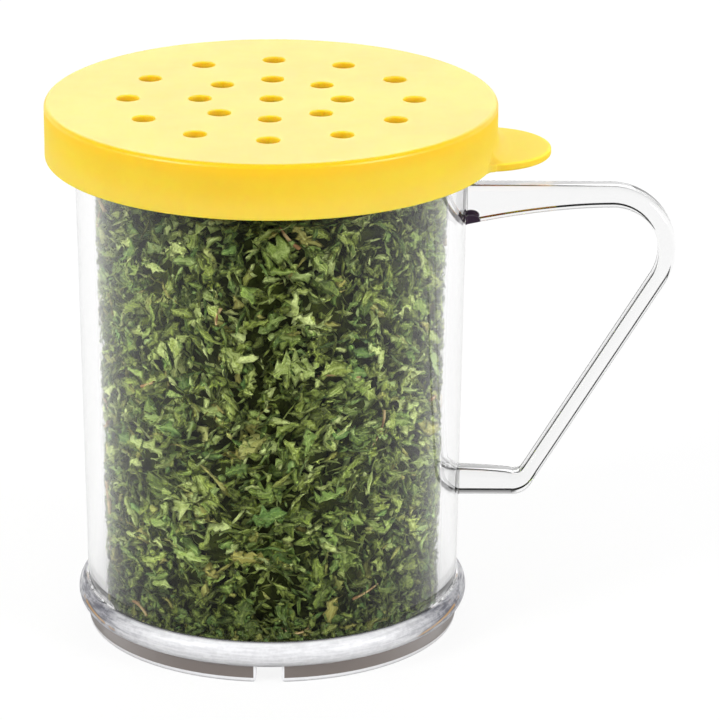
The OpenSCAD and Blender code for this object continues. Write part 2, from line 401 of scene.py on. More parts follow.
class Nodes:
    """A node tree, with one way to add any node."""

    def __init__(self, tree):
        self.tree = tree
        self.tree.nodes.clear()

    def node(self, kind, settings=None, sockets=None):
        """Add a node, set its settings first, and then set or link its sockets."""
        node = self.tree.nodes.new(kind)
        for name, value in (settings or {}).items():
            if name == "stops":
                self.set_stops(node.color_ramp.elements, value)
            else:
                setattr(node, name, value)
        for name, value in (sockets or {}).items():
            socket = pick(node.inputs, name)
            if isinstance(value, Field):
                self.tree.links.new(value.socket, socket)
            else:
                socket.default_value = value
        return Made(self, node)

    @staticmethod
    def set_stops(elements, stops):
        """Set a ramp's stops, each a place and a colour."""
        while len(elements) < len(stops):
            elements.new(1)
        for element, (place, colour) in zip(elements, stops):
            element.position = place
            element.color = (*colour, 1)

    def place(self):
        """The point on the piece, in metres."""
        return self.node("ShaderNodeTexCoord")["Object"]

    def attribute(self, name):
        """A value that each point of the mesh carries."""
        return self.node("ShaderNodeAttribute", {"attribute_name": name})["Fac"]

    def axes(self, vector):
        """The three parts of a vector."""
        parts = self.node("ShaderNodeSeparateXYZ", sockets={"Vector": vector})
        return parts["X"], parts["Y"], parts["Z"]

    def noise(self, vector, scale, detail=3.0, roughness=0.5):
        """Soft noise from 0 to 1."""
        sockets = {"Vector": vector, "Scale": scale, "Detail": detail, "Roughness": roughness}
        return self.node("ShaderNodeTexNoise", sockets=sockets)["Fac"]

    def stretch(self, vector, factors):
        """A vector with its parts scaled."""
        sockets = {0: vector, 1: factors}
        return self.node("ShaderNodeVectorMath", {"operation": "MULTIPLY"}, sockets)["Vector"]

    def blend(self, share, first, second):
        """A mix of two colours."""
        sockets = {"Factor_Float": share, "A_Color": first, "B_Color": second}
        return self.node("ShaderNodeMix", {"data_type": "RGBA"}, sockets)["Result_Color"]

    def bump(self, height, distance, strength=1.0):
        """A bumped normal."""
        sockets = {"Height": height, "Distance": distance, "Strength": strength}
        return self.node("ShaderNodeBump", sockets=sockets)["Normal"]

    def principled(self, sockets):
        """A principled shader."""
        return self.node("ShaderNodeBsdfPrincipled", sockets=sockets)["BSDF"]

    def mix(self, share, first, second):
        """A mix of two shaders."""
        return self.node("ShaderNodeMixShader", sockets={0: share, 1: first, 2: second})["Shader"]

    def surface(self, shader):
        """Make a shader the tree's surface."""
        self.node("ShaderNodeOutputMaterial", sockets={"Surface": shader})


def new_material(name):
    """A material and its empty node tree."""
    material = bpy.data.materials.new(name)
    material.use_nodes = True
    return material, Nodes(material.node_tree)


def rgba(colour, scales=(1, 1, 1)):
    """A colour with full alpha, whose red, green and blue may be scaled."""
    red, green, blue = (part * scale for part, scale in zip(colour, scales))
    return red, green, blue, 1


# The jar and its handle

def wall_radius(jar, z):
    """Outside radius of the tapered wall at a height."""
    return jar.base_radius + (jar.top_radius - jar.base_radius) * z / JAR_HIGH.z


def bore_radius(jar, z):
    """Inside radius of the tapered wall at a height."""
    return wall_radius(jar, z) - jar.wall


def jar_section(jar):
    """Outline of foot, bead, wall, rim, bore and floor, from the axis under the floor to that above it."""
    top = JAR_HIGH.z
    rim_radius = JAR_HIGH.y
    rim_low = top - jar.rim_height
    floor_top = jar.foot_height + jar.floor
    foot_out = wall_radius(jar, 0)
    foot_in = foot_out - jar.foot_width
    bead_z = jar.foot_height + jar.bead_radius
    bead_x = wall_radius(jar, bead_z) + jar.bead_out - jar.bead_radius
    bead_start = -math.degrees(math.acos((foot_out - bead_x) / jar.bead_radius))
    wall_over_bead = wall_radius(jar, bead_z + jar.bead_radius)
    bead_stop = math.degrees(math.acos((wall_over_bead - bead_x) / jar.bead_radius))
    bead_top = bead_z + jar.bead_radius * math.sin(math.radians(bead_stop))
    fillet_top = floor_top + jar.floor_fillet
    fillet_in = bore_radius(jar, fillet_top) - jar.floor_fillet
    wall_steps = 14
    outer_heights = np.linspace(bead_top, rim_low, wall_steps)[1:]
    bore_heights = np.linspace(top - jar.lip_round, fillet_top, wall_steps)[1:-1]

    section = [(0, jar.foot_height)]
    section += arc((foot_in - jar.foot_round, jar.foot_height - jar.foot_round), jar.foot_round, 90, 0, 5)
    section += arc((foot_in + jar.foot_round, jar.foot_round), jar.foot_round, 180, 270, 5)
    section += arc((foot_out - jar.foot_round, jar.foot_round), jar.foot_round, 270, 360, 5)
    section += arc((bead_x, bead_z), jar.bead_radius, bead_start, bead_stop, 24)
    section += [(wall_radius(jar, z), z) for z in outer_heights]
    section += arc((rim_radius - jar.rim_round, rim_low + jar.rim_round), jar.rim_round, -90, 0, 6)
    section += arc((rim_radius - jar.rim_round, top - jar.rim_round), jar.rim_round, 0, 90, 6)
    section += arc((bore_radius(jar, top) + jar.lip_round, top - jar.lip_round), jar.lip_round, 90, 180, 5)
    section += [(bore_radius(jar, z), z) for z in bore_heights]
    section += arc((fillet_in, fillet_top), jar.floor_fillet, 0, -90, 10)
    section += [(0, floor_top)]
    return section


def notch_cutter(jar, angle):
    """A prism that opens one drain notch and rounds the foot's corners beside it."""
    half = jar.notch_width / 2
    corner = jar.notch_round
    below = -corner
    over = 1 * MM
    short = 0.048 * MM
    top = jar.foot_height - short
    right = [(half, top)] + arc((half + corner, corner), corner, 180, 270, 6) + [(half + corner, below)]
    outline = right + [(-across, z) for across, z in reversed(right)]
    start = wall_radius(jar, 0) - jar.foot_width - over
    stop = wall_radius(jar, 0) + jar.bead_out + over
    shape = bmesh.new()
    ends = [[shape.verts.new((x, across, z)) for across, z in outline] for x in (start, stop)]
    closed_tube(shape, ends)
    bmesh.ops.rotate(shape, verts=shape.verts, matrix=Matrix.Rotation(angle, 3, "Z"))
    return new_piece("notch_cutter", shape)


def flare(distance, radius):
    """How far a fillet of a radius stands out at a distance from the wall that it runs into."""
    inside = min(max(radius - distance, 0), radius)
    return radius - math.sqrt(radius ** 2 - inside ** 2)


def soft_larger(first, second, soft):
    """The larger of two lengths, with a soft change from one to the other."""
    return (first + second + math.hypot(first - second, soft)) / 2


def handle_stations(handle, jar):
    """Along the bar: point on its outer edge, outward angle, thickness, and flare at a root."""
    top = HANDLE_HIGH.z
    low = HANDLE_LOW.z
    upper_wall = wall_radius(jar, top)
    lower_wall = wall_radius(jar, low)
    sunk = jar.wall / 2
    fillet = handle.root_fillet
    upper = Vector((HANDLE_HIGH.x - handle.upper_bend, top - handle.upper_bend))
    lower = Vector((lower_wall + handle.lower_arm, low + handle.lower_bend))
    between = lower - upper
    lean = math.degrees(math.acos((handle.upper_bend - handle.lower_bend) / between.length))
    grip = math.degrees(math.atan2(between.y, between.x)) + lean
    near_wall = list(np.linspace(0, fillet, 9))
    root_taper = 1.7
    corner_run = 2.5 * MM
    stations = []

    reach = upper.x - upper_wall
    for away in [-sunk, *near_wall, *np.linspace(fillet, reach, 30)[1:-1]]:
        taper = (1 - (away + sunk) / (reach + sunk)) ** root_taper
        thickness = handle.arm + (handle.upper_root - handle.arm) * taper
        stations.append(((upper_wall + away, top), 90, thickness, flare(away, fillet)))

    steps = 36
    bend = arc(upper, handle.upper_bend, 90, grip, steps)
    turns = np.linspace(90, grip, steps + 1)
    thinning = np.linspace(handle.arm, handle.grip, steps + 1)
    for point, angle, thickness in zip(bend, turns, thinning):
        stations.append((point, angle, thickness, 0))

    grip_low = arc(lower, handle.lower_bend, grip, -90, steps)
    along = Vector((-math.sin(math.radians(grip)), math.cos(math.radians(grip))))
    grip_end = [tuple(Vector(grip_low[0]) + along * away) for away in np.linspace(corner_run, 0, 9)[:-1]]
    turns = [grip] * len(grip_end) + list(np.linspace(grip, -90, steps + 1))
    for point, angle in zip(grip_end + grip_low, turns):
        to_arm = (low + handle.arm - point[1]) / -math.sin(math.radians(angle))
        stations.append((point, angle, soft_larger(handle.grip, to_arm, handle.corner_blend), 0))

    reach = handle.lower_arm
    for away in [*np.linspace(reach, fillet, 20)[1:-1], *reversed(near_wall), -sunk]:
        taper = math.sqrt(1 - (away + sunk) / (reach + sunk))
        thickness = handle.arm + (handle.lower_root - handle.arm) * taper
        stations.append(((lower_wall + away, low), -90, thickness, flare(away, fillet)))
    return stations


def handle_bar(handle, jar):
    """The handle as one rounded bar, with its ends inside the wall."""
    shape = bmesh.new()
    rings = []
    for (x, z), angle, thickness, grown in handle_stations(handle, jar):
        out = Vector((math.cos(math.radians(angle)), math.sin(math.radians(angle))))
        outer_is_up = min(max(out.y + 0.5, 0), 1)
        extra = (handle.upper_round - handle.lower_round) * outer_is_up
        rounds = {1: handle.lower_round + extra + grown, -1: handle.upper_round - extra + grown}
        ring = []
        for side, rise, start in ((1, 1, 0), (-1, 1, 90), (-1, -1, 180), (1, -1, 270)):
            corner = rounds[rise]
            centre = (side * (handle.width / 2 + grown - corner), rise * (thickness / 2 + grown - corner))
            for across, outward in arc(centre, corner, start, start + 90, 9):
                at = Vector((x, z)) + out * (outward - thickness / 2)
                ring.append(shape.verts.new((at.x, across, at.y)))
        rings.append(ring)
    closed_tube(shape, rings)
    return new_piece("handle_bar", shape)


def bead_scuffs_and_painted_light(nodes, jar, y, z, radius, mottle, blotch, streaks):
    """Silvery scuffs and a painted silver reflection on the bead, with painted dark refraction towards its
    two sides and a painted amber refraction streak near each of them.
    """
    dark_pattern = (0.6 * streaks + 0.4 * mottle).step(0.4, 0.62)
    front = abs(y) / radius
    # Painted dark refraction, in the dark pattern and stronger towards the bead's two sides.
    shaded = 0.05 + 0.2 * dark_pattern + (1 - front.step(0.35, 0.9)) * (0.36 + 0.42 * dark_pattern)
    # Painted silver reflection over the scuffs, darkened by the painted dark refraction.
    silver = nodes.blend(shaded, rgba(jar.scuff_and_reflection_tint), rgba(jar.dark_refraction_tint))

    # Painted refraction: amber streaks with dark outlines, and a painted dark band over their line.
    line = z - jar.foot_height - jar.bead_radius - jar.streak_rise * (0.46 - front)
    streaked = front.step(0.24, 0.3) * (1 - front.step(0.62, 0.68)) * blotch.step(0.36, 0.46)
    over_line = front.step(0.1, 0.25) * (1 - front.step(0.5, 0.65)) * line.step(0.2 * MM, 0.45 * MM)
    painted_dark_band = over_line * (0.5 + 0.5 * dark_pattern)
    outline = streaked * (1 - abs(line).step(0.45 * MM, 0.7 * MM))
    on_line = streaked * (1 - abs(line).step(0.15 * MM, 0.35 * MM)) * streaks.step(0.3, 0.45)
    dark = nodes.blend(0.8 * painted_dark_band.larger(outline), silver, rgba(jar.dark_refraction_tint))
    painted_amber = nodes.blend(on_line, dark, rgba(jar.amber_refraction_tint))

    over_seam = z.step(jar.foot_height + 0.1 * MM, jar.foot_height + 0.4 * MM)
    seam = (1 - over_seam) * streaks.step(0.35, 0.5)
    return nodes.blend(0.8 * seam, painted_amber, rgba(jar.foot_shade_tint))


def foot_painted_shade(nodes, jar, x, y, z):
    """The foot ring painted with the shadowed floor seen through it, with painted highlights along its
    lower edge and beside its notches.
    """
    # Painted highlights along the lower edge and beside the notches.
    from_notch = abs(x).smaller(abs(y)) - jar.notch_width / 2
    notch_highlight = 1 - from_notch.step(0.4 * MM, 0.55 * MM)
    low_highlight = 1 - z.step(0.85 * MM, 1.0 * MM)
    return nodes.blend(low_highlight.larger(notch_highlight), rgba(jar.foot_shade_tint), rgba(jar.scuff_and_reflection_tint))


def root_dark_spot(jar, handle, x, y, z, blotch):
    """How strongly the painted dark spot under the handle's upper root shows at a point, from 0 to 1; it
    stands for the joint with the wall seen dark through the clear plastic.
    """
    mark_z = HANDLE_HIGH.z - handle.mark_drop
    mark_x = wall_radius(jar, mark_z) + handle.mark_out
    off_x = (x - mark_x) / (handle.mark_width / 2)
    off_z = (z - mark_z) / (handle.mark_height / 2)
    ragged = off_x * off_x + off_z * off_z + 1.2 * (blotch - 0.5)
    on_bar = 1 - abs(y).step(handle.width * 0.55, handle.width * 0.7)
    return on_bar * (1 - ragged.step(0.75, 1.1))


def clear_plastic(jar, handle):
    """Polished clear plastic, with a scuffed bead painted with the light and dark seen through it, a foot
    ring painted with the shadowed floor seen through it, and a painted dark spot at the upper root.
    """
    material, nodes = new_material("clear_plastic")
    place = nodes.place()
    x, y, z = nodes.axes(place)
    radius = (x * x + y * y) ** 0.5
    mottle = nodes.noise(place, 900, 5, 0.7)
    blotch = nodes.noise(place, 160, 3)
    streaks = nodes.noise(nodes.stretch(place, (220, 220, 2600)), 1, 4, 0.6)
    fine = nodes.noise(place, 2600, 2)

    bead_z = jar.foot_height + jar.bead_radius
    bead_top = bead_z + 0.85 * jar.bead_radius
    bead_in = wall_radius(jar, bead_z) + jar.bead_out - jar.bead_radius * 1.25
    foot_in = wall_radius(jar, 0) - jar.foot_width
    over_foot = z.step(jar.foot_height - 0.1 * MM, jar.foot_height + 0.2 * MM)
    under_top = 1 - z.step(bead_top - 0.1 * MM, bead_top + 0.3 * MM)
    on_bead = radius.step(bead_in, bead_in + 0.6 * MM) * over_foot * under_top
    on_foot = radius.step(foot_in - 0.4 * MM, foot_in) * (1 - over_foot)
    mark = root_dark_spot(jar, handle, x, y, z, blotch)

    # The scuffs and the painted reflection and shade lie on the outside only, and gloss takes over where
    # the surface turns away
    outside = 1 - nodes.node("ShaderNodeNewGeometry")["Backfacing"]
    turned_away = nodes.node("ShaderNodeLayerWeight", sockets={"Blend": 0.5})["Facing"].step(0.12, 0.65)
    bead = on_bead * (0.94 - 0.2 * turned_away)
    foot = on_foot * (0.88 + 0.1 * mottle - 0.2 * turned_away)
    dulled_and_painted = (outside * (bead + foot)).larger(mark)

    banded = bead_scuffs_and_painted_light(nodes, jar, y, z, radius, mottle, blotch, streaks)
    base = nodes.blend(over_foot, foot_painted_shade(nodes, jar, x, y, z), banded)
    worn_and_painted = nodes.principled({
        "Base Color": nodes.blend(mark, base, rgba(handle.mark_tint)),
        "Roughness": 0.3 + 0.25 * mottle,
        "IOR": 1.57,
        "Normal": nodes.bump(mottle, 0.06 * MM, 0.6),
    })
    polish = nodes.principled({
        "Base Color": (1, 1, 1, 1),
        "Roughness": 0.012 * fine.step(0.5, 0.75),
        "IOR": 1.57,
        "Transmission Weight": 1.0,
    })

    # Light falls through the wall on to the herb as if the plastic did not bend it
    through = nodes.node("ShaderNodeBsdfTransparent", sockets={"Color": (0.94, 0.95, 0.95, 1)})
    path = nodes.node("ShaderNodeLightPath")
    lighting = path["Is Shadow Ray"].larger(path["Is Diffuse Ray"])
    clear = nodes.mix(lighting, polish, through["BSDF"])
    nodes.surface(nodes.mix(dulled_and_painted, clear, worn_and_painted))
    return material


class DREDGER_OT_jar(bpy.types.Operator):
    """Add the clear jar and its handle as one moulding"""

    bl_idname = "dredger.jar"
    bl_label = "Jar and handle"

    def execute(self, context):
        jar = context.scene.dredger_jar
        handle = context.scene.dredger_handle
        piece = turned("jar_shell", jar_section(jar), ROUND_SIDES)
        for i in range(jar.notch_count):
            angle = math.tau * i / jar.notch_count - math.pi / 2
            combine(piece, notch_cutter(jar, angle), "DIFFERENCE")
        combine(piece, handle_bar(handle, jar), "UNION")
        smooth(piece, SHARP_DEGREES)
        dress(piece, clear_plastic(jar, handle), "jar", "clear_plastic", "jar", "handle")
        return {"FINISHED"}


# The lid

def lid_section(lid):
    """Outline of the lid's top and skirt, from the axis on top to the axis underneath."""
    top = LID_HIGH.z
    low = LID_LOW.z
    out = LID_HIGH.y
    inside = out - lid.skirt
    under = top - lid.top
    snap_x = inside - lid.snap_in + lid.snap_radius
    snap_z = top - lid.snap_drop
    snap_angle = math.degrees(math.acos((snap_x - inside) / lid.snap_radius))
    section = [(0, top)]
    section += arc((out - lid.edge_round, top - lid.edge_round), lid.edge_round, 90, 0, 8)
    section += arc((out - lid.skirt_round, low + lid.skirt_round), lid.skirt_round, 0, -90, 5)
    section += arc((inside + lid.skirt_round, low + lid.skirt_round), lid.skirt_round, -90, -180, 5)
    section += arc((snap_x, snap_z), lid.snap_radius, 180 + snap_angle, 180 - snap_angle, 8)
    section += arc((inside - lid.inner_fillet, under - lid.inner_fillet), lid.inner_fillet, 0, 90, 5)
    section += [(0, under)]
    return section


def hole_cutter(lid):
    """One tool for all the shaker holes, flared at the top so that their edges are round."""
    top = LID_HIGH.z
    over = 1 * MM
    radius = lid.hole / 2
    wide = radius + lid.hole_round
    profile = [(radius, top - lid.top - over)]
    profile += arc((wide, top - lid.hole_round), lid.hole_round, 180, 90, 5)
    profile += [(wide, top + over)]
    sides = 40
    shape = bmesh.new()
    rings_of_holes = ((0, 1), (lid.inner_ring / 2, lid.inner_holes), (lid.outer_ring / 2, lid.outer_holes))
    for ring_radius, holes in rings_of_holes:
        for i in range(holes):
            middle = Vector((ring_radius, 0, 0))
            middle.rotate(Matrix.Rotation(math.tau * i / holes, 3, "Z"))
            rings = []
            for circle_radius, z in profile:
                circle = arc(middle.xy, circle_radius, 0, 360, sides)[:-1]
                rings.append([shape.verts.new((x, y, z)) for x, y in circle])
            closed_tube(shape, rings)
    return new_piece("hole_cutter", shape)


def tab_ends(lid):
    """Angles about the lid's axis at which the tab's round end and its blend meet the skirt."""
    out = LID_HIGH.y
    centre = LID_HIGH.x - lid.tab_radius
    root = math.acos((out ** 2 + centre ** 2 - lid.tab_radius ** 2) / (2 * centre * out))
    return root, root + lid.tab_blend / out


def tab_reach(lid, angle):
    """How far the tab's outline stands out from the skirt at an angle about the lid's axis."""
    out = LID_HIGH.y
    centre = LID_HIGH.x - lid.tab_radius
    root, end = tab_ends(lid)
    square = lid.tab_radius ** 2 - (centre * math.sin(angle)) ** 2
    disc = centre * math.cos(angle) + math.sqrt(max(square, 0)) - out
    away = min(max((end - abs(angle)) * out, 0), lid.tab_blend)
    blend = lid.tab_blend - math.sqrt(lid.tab_blend ** 2 - away ** 2)
    return max(disc if abs(angle) < root else 0, blend)


def tab_heights(lid, reach, radius, edge):
    """Lower and upper face of the tab at a radius, with its round edge and its fillet up the skirt."""
    out = LID_HIGH.y
    clearance = 0.02 * MM
    low = LID_LOW.z + clearance
    fillet = min(lid.tab_fillet, 0.7 * max(reach, 0))
    rounded = flare(out + reach - radius, edge)
    rise = flare(radius - out, fillet) if fillet > 0 else 0
    return low + rounded, low + lid.tab + rise - rounded


def border(grid):
    """The points round the edge of a grid, in order."""
    far_side = [row[-1] for row in grid[1:]]
    near_side = [row[0] for row in grid[-2:0:-1]]
    return grid[0] + far_side + grid[-1][-2::-1] + near_side


def lid_tab(lid):
    """The tab that lifts the lid, with its inner edge inside the skirt."""
    out = LID_HIGH.y
    inner = out - lid.skirt / 2
    _, end = tab_ends(lid)
    sunk = 0.1 * MM
    columns = 120
    quarter = np.sin(np.linspace(0, math.pi / 2, 9))
    shape = bmesh.new()
    upper = []
    lower = []
    for angle in np.linspace(-end, end, columns + 1):
        reach = max(tab_reach(lid, angle), -sunk / 2)
        edge = min(lid.tab_round, (reach + sunk) / 2)
        rim = out + reach
        rounding = rim - edge * (1 - quarter)
        radii = [inner, *np.linspace(out - sunk, rim - edge, 18), *rounding[1:]]
        places = [(r * math.cos(angle), r * math.sin(angle)) for r in radii]
        heights = [tab_heights(lid, reach, r, edge) for r in radii]
        lower.append([shape.verts.new((x, y, low)) for (x, y), (low, _) in zip(places, heights)])
        upper.append([shape.verts.new((x, y, high)) for (x, y), (_, high) in zip(places, heights)])
    for grid in (upper, lower):
        for first, second in zip(grid, grid[1:]):
            for i in range(len(first) - 1):
                shape.faces.new((first[i], first[i + 1], second[i + 1], second[i]))
    bridge(shape, [border(lower), border(upper)])
    return new_piece("lid_tab", shape)


def yellow_plastic(lid):
    """Soft yellow moulded plastic with a satin sheen, deeper in colour under its upper edge as painted
    shade, paler low on the skirt as a painted sheen, and paler on the tab's upper face as painted light.
    """
    material, nodes = new_material("yellow_plastic")
    place = nodes.place()
    flow = nodes.noise(nodes.stretch(place, (1, 1, 0.4)), 60, 3, 0.55)
    peel = nodes.noise(place, 900, 2)
    scuff = nodes.noise(place, 260, 5, 0.7)
    x, y, z = nodes.axes(place)
    top = LID_HIGH.z
    low = LID_LOW.z
    tab_high = low + lid.tab
    on_top = z.step(top - 1.2 * MM, top - 0.6 * MM)
    shaded_under_edge = z.step(top - 4 * MM, top - 1 * MM) * (1 - z.step(top - 0.3 * MM, top))
    past_skirt = ((x * x + y * y) ** 0.5).step(LID_HIGH.y + 0.5 * MM, LID_HIGH.y + lid.tab_fillet)
    sheen_low_skirt = (1 - z.step(low + 1 * MM, low + 6 * MM)) * (1 - past_skirt)
    lit_tab_top = past_skirt * z.step(tab_high - lid.tab_round, tab_high - 0.1 * MM)

    body = nodes.blend(flow.step(0.3, 0.7), rgba(lid.tint, (0.95, 0.9, 0.8)), rgba(lid.tint))
    # Painted shade under the upper edge.
    edged = nodes.blend(shaded_under_edge, body, rgba(lid.edge_shade_tint))
    # Painted sheen low on the skirt.
    skirted = nodes.blend(0.7 * sheen_low_skirt, edged, rgba(lid.skirt_sheen_tint))
    # Painted light on the tab's upper face.
    colour = nodes.blend(lit_tab_top, skirted, rgba(lid.tab_light_tint))
    nodes.surface(nodes.principled({
        "Base Color": colour,
        "Roughness": 0.6 - 0.28 * on_top + 0.1 * scuff,
        "IOR": 1.5,
        "Subsurface Weight": 1.0,
        "Subsurface Radius": (1.0, 0.6, 0.1),
        "Subsurface Scale": 3.2 * MM,
        "Normal": nodes.bump(peel + 0.5 * scuff, 0.02 * MM, 0.35),
    }))
    return material


class DREDGER_OT_lid(bpy.types.Operator):
    """Add the perforated lid with its lifting tab"""

    bl_idname = "dredger.lid"
    bl_label = "Lid"

    def execute(self, context):
        lid = context.scene.dredger_lid
        piece = turned("lid_cap", lid_section(lid), ROUND_SIDES)
        combine(piece, lid_tab(lid), "UNION")
        combine(piece, hole_cutter(lid), "DIFFERENCE")
        smooth(piece, SHARP_DEGREES)
        dress(piece, yellow_plastic(lid), "lid", "yellow_plastic", "lid")
        return {"FINISHED"}


# The herb

def herb_skin(jar, herb):
    """The line that the heap's surface follows: along the floor, up the wall and over the crown."""
    low = jar.foot_height + jar.floor + herb.gap
    bend = jar.floor_fillet
    wall_low = bore_radius(jar, low) - herb.gap
    crown = 2 * MM
    top = HERB_HIGH.z - crown
    wall_top = bore_radius(jar, top) - herb.gap
    line = [(wall_low - bend - herb.floor_reach, low)]
    line += arc((wall_low - bend, low + bend), bend, -90, 0, 8)
    line += arc((wall_top - herb.top_bend, top - herb.top_bend), herb.top_bend, 0, 85, 8)
    line += [(0, HERB_HIGH.z)]
    return np.array(line)


class Skin:
    """Places points on the heap's surface, by distance along its line, turn about the axis and depth."""

    def __init__(self, line, samples=600):
        gaps = np.linalg.norm(np.diff(line, axis=0), axis=1)
        stops = np.concatenate([[0], np.cumsum(gaps)])
        self.along = np.linspace(0, stops[-1], samples)
        self.radius = np.interp(self.along, stops, line[:, 0])
        self.height = np.interp(self.along, stops, line[:, 1])
        step_r = np.gradient(self.radius)
        step_z = np.gradient(self.height)
        length = np.hypot(step_r, step_z)
        self.in_r = -step_z / length
        self.in_z = step_r / length
        area = np.cumsum(np.maximum(self.radius, 1e-5))
        self.area = (area - area[0]) / (area[-1] - area[0])
        crown_edge = line[-2][1] - 0.3 * MM
        self.rim = self.along[np.argmax(self.height > crown_edge)]

    def spread(self, share):
        """Distance along the line that leaves a share of the surface behind it."""
        return np.interp(share, self.area, self.along)

    def lay(self, start, turn_to, sideways, upward, depth):
        """Points from offsets about their flake's middle, bent round the wall or flat on the crown."""
        at = np.clip(start + upward, 0, self.along[-1])
        radius = np.interp(at, self.along, self.radius) + np.interp(at, self.along, self.in_r) * depth
        height = np.interp(at, self.along, self.height) + np.interp(at, self.along, self.in_z) * depth
        bent = sideways / np.maximum(radius, 5 * MM)
        flat = start > self.rim
        x = np.where(flat, radius, radius * np.cos(bent))
        y = np.where(flat, sideways, radius * np.sin(bent))
        return np.stack([*rotated(x, y, turn_to), height], axis=-1)


def even_spread(total, rng):
    """Pairs of shares that fill a square evenly without lining up."""
    plastic_ratio = 1.32471795724474602596
    steps = np.arange(total)[:, None] * np.array([1 / plastic_ratio, 1 / plastic_ratio ** 2])
    jitter = rng.normal(0, 0.35, (total, 2)) / math.sqrt(total)
    return (0.5 + steps + jitter) % 1


def rotated(first, second, angle):
    """Two offsets turned by an angle."""
    cos = np.cos(angle)
    sin = np.sin(angle)
    return first * cos - second * sin, first * sin + second * cos


def flake_shapes(rng, kind):
    """Curled flakes about their own middles: offsets along, across and in depth, and normals."""
    total, rows, columns = kind.total, kind.rows, kind.columns
    each = (total, 1, 1)
    lengthwise = np.linspace(0, 1, rows)[None, :, None]
    crosswise = np.linspace(-1, 1, columns)[None, None, :]
    from_middle = lengthwise - 0.5
    tip = 0.12
    least = 0.15
    nearly_flat = 1e-4

    length = kind.shortest + (kind.longest - kind.shortest) * rng.beta(1.5, 3.0, each)
    half = length * rng.uniform(kind.slim, kind.broad, each) / 2
    widest = np.exp(rng.normal(0, 0.3, each))
    fullness = rng.uniform(0.4, 0.9, each)
    belly = np.sin(np.pi * np.clip(lengthwise ** widest, 0.03, 0.97)) ** fullness
    in_and_out = np.where(np.arange(rows) % 2, 1, -1)[None, :, None]
    teeth = 1 + kind.lobes * in_and_out * rng.uniform(0.3, 1, each)
    edges = rng.uniform(1 - kind.jag, 1 + kind.jag, (total, rows, 2))
    ragged = np.where(crosswise < 0, edges[:, :, :1], edges[:, :, 1:])
    spread = half * np.maximum(belly, tip) * np.maximum(teeth, least) * np.maximum(ragged, least)

    curl = rng.normal(0, kind.curl, each) + nearly_flat
    across = spread * np.sin(curl * np.abs(crosswise)) / curl * np.sign(crosswise)
    depth = spread * (1 - np.cos(curl * crosswise)) / curl
    twist = rng.normal(0, kind.twist, each) * from_middle
    across, depth = rotated(across, depth, twist)
    lean = -np.sin(twist) * np.ones_like(across)
    face = np.cos(twist) * np.ones_like(across)

    bend = rng.normal(0, kind.bend, each) + nearly_flat
    along = length * np.sin(bend * from_middle) / bend + np.zeros_like(across)
    depth = depth + length * (1 - np.cos(bend * from_middle)) / bend
    depth = depth + rng.normal(0, kind.crumple, (total, rows, columns)) * length
    across = across + rng.normal(0, 0.1, each) * length * (4 * from_middle ** 2 - 1 / 3)

    roll = rng.normal(0, kind.tilt, each)
    across, depth = rotated(across, depth, roll)
    lean, face = rotated(lean, face, roll)
    pitch = rng.normal(0, 0.6 * kind.tilt, each)
    along, depth = rotated(along, depth, pitch)
    nose, face = rotated(np.zeros_like(face), face, pitch)
    return np.stack([along, across, depth], -1), np.stack([nose, lean, face], -1)


def flow_angle(start, turn_to):
    """The way that flakes tend to lie at a place on the heap, as an angle."""
    bend = 0.9 * np.sin(3 * turn_to + 1.1) + 0.8 * np.sin(start / (13 * MM) + 2 * turn_to)
    return bend + 0.5 * np.sin(5 * turn_to - start / (9 * MM))


def flake_quads(rows, columns):
    """Faces of one closed flake: its two sides share their outline."""
    front = np.arange(rows * columns).reshape(rows, columns)
    back = front.copy()
    inner = (rows - 2) * (columns - 2)
    back[1:-1, 1:-1] = rows * columns + np.arange(inner).reshape(rows - 2, columns - 2)

    def quads(grid):
        corners = [grid[:-1, :-1], grid[:-1, 1:], grid[1:, 1:], grid[1:, :-1]]
        return np.stack(corners, -1).reshape(-1, 4)

    return np.concatenate([quads(front), quads(back)[:, ::-1]])


def two_sided(front, back):
    """Points of closed flakes: all of the front's, then the back's inside its outline."""
    inner = back[:, 1:-1, 1:-1]
    width = front.shape[-1]
    return np.concatenate([front.reshape(len(front), -1, width), inner.reshape(len(front), -1, width)], 1)


def flake_mesh(name, points, quads):
    """A mesh of many flakes that all have the same faces."""
    total, each = points.shape[:2]
    corners = (quads[None] + each * np.arange(total)[:, None, None]).reshape(-1).astype(np.int32)
    mesh = bpy.data.meshes.new(name)
    mesh.vertices.add(total * each)
    mesh.vertices.foreach_set("co", points.reshape(-1).astype(np.float32))
    mesh.loops.add(len(corners))
    mesh.loops.foreach_set("vertex_index", corners)
    mesh.polygons.add(len(corners) // 4)
    mesh.polygons.foreach_set("loop_start", np.arange(0, len(corners), 4, dtype=np.int32))
    return mesh


